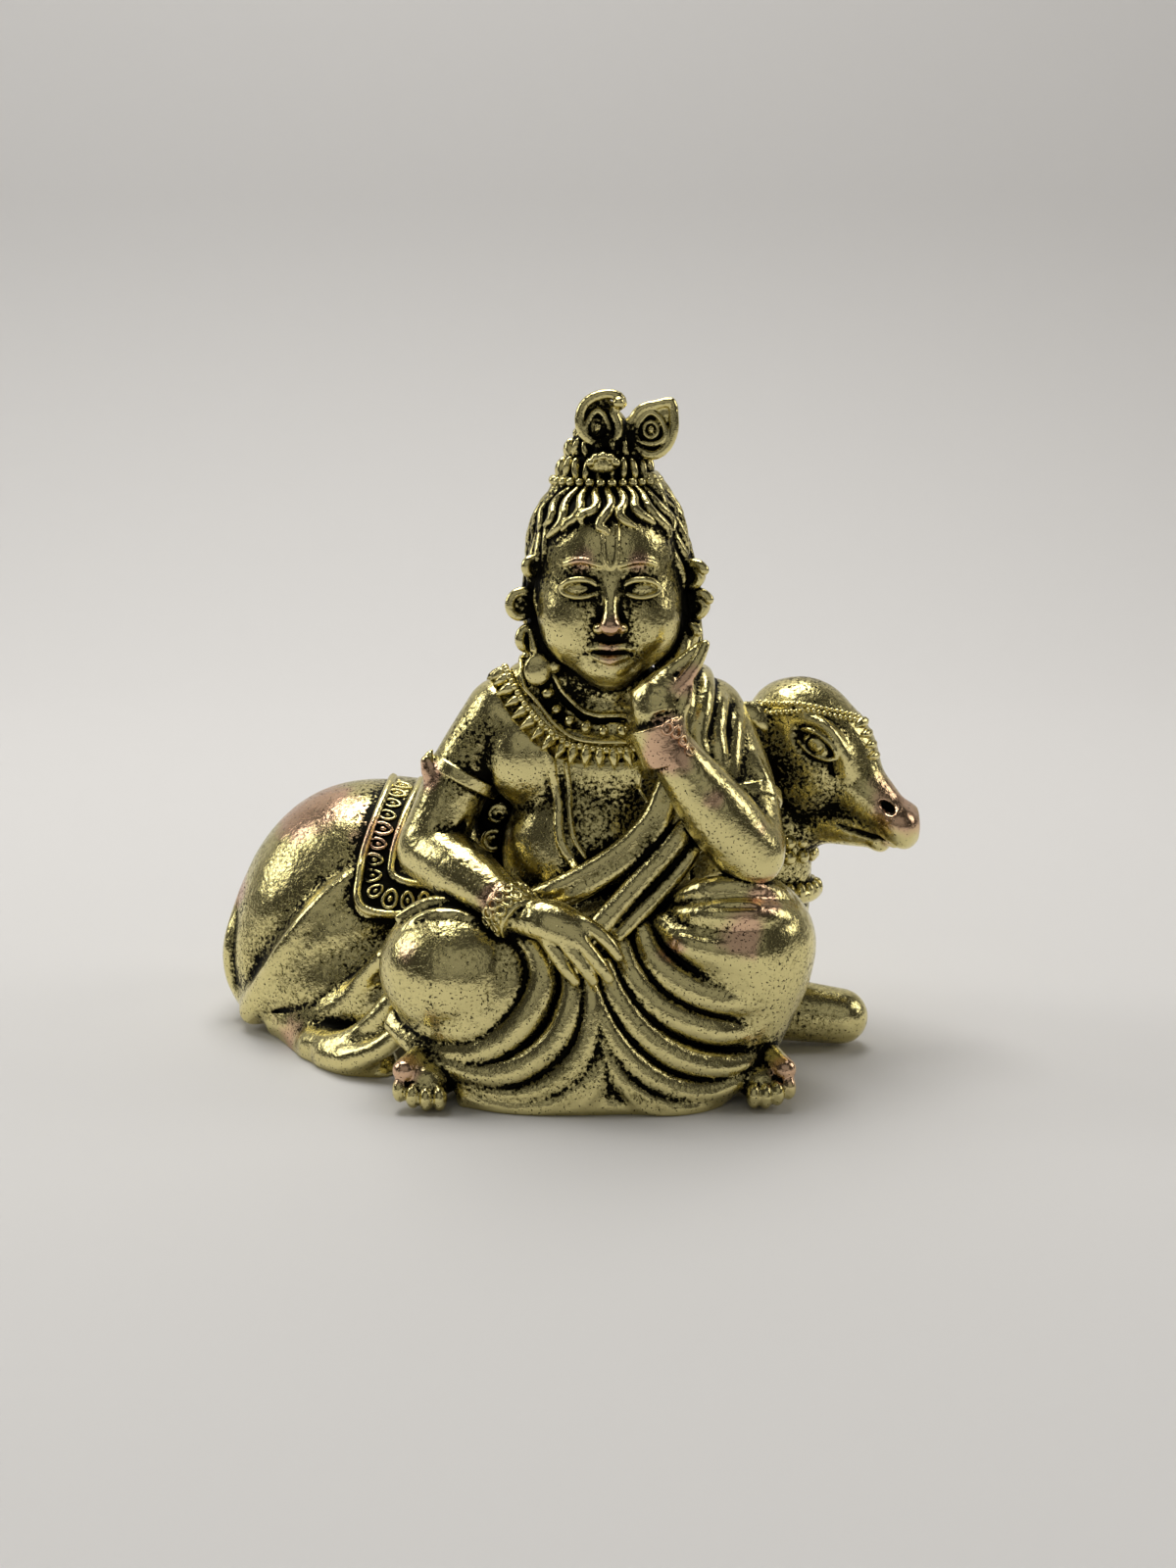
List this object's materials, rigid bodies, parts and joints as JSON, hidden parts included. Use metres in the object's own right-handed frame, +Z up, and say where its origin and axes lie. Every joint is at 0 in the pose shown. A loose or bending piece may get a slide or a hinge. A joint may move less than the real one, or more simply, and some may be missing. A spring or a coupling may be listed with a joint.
{
  "type": "krishna with cow idol",
  "caption": "Small cast brass idol of a seated child leaning a cheek on one hand, with a calf lying behind; stands on its flat underside.",
  "frame": {"origin": "middle of the footprint of the whole casting, at the height of its ground-flat underside", "axes": "+X to the viewer's right, along the calf from rump to muzzle, +Y away from the viewer, +Z up"},
  "size_m": [0.0606, 0.038, 0.0548],
  "materials": {
    "brass": "polished yellow-green brass, tumbled smooth on the high points, near-black antique patina left in the hollows and pits"
  },
  "bodies": {
    "root": {"krishna_and_calf": "brass"}
  },
  "joints": []
}
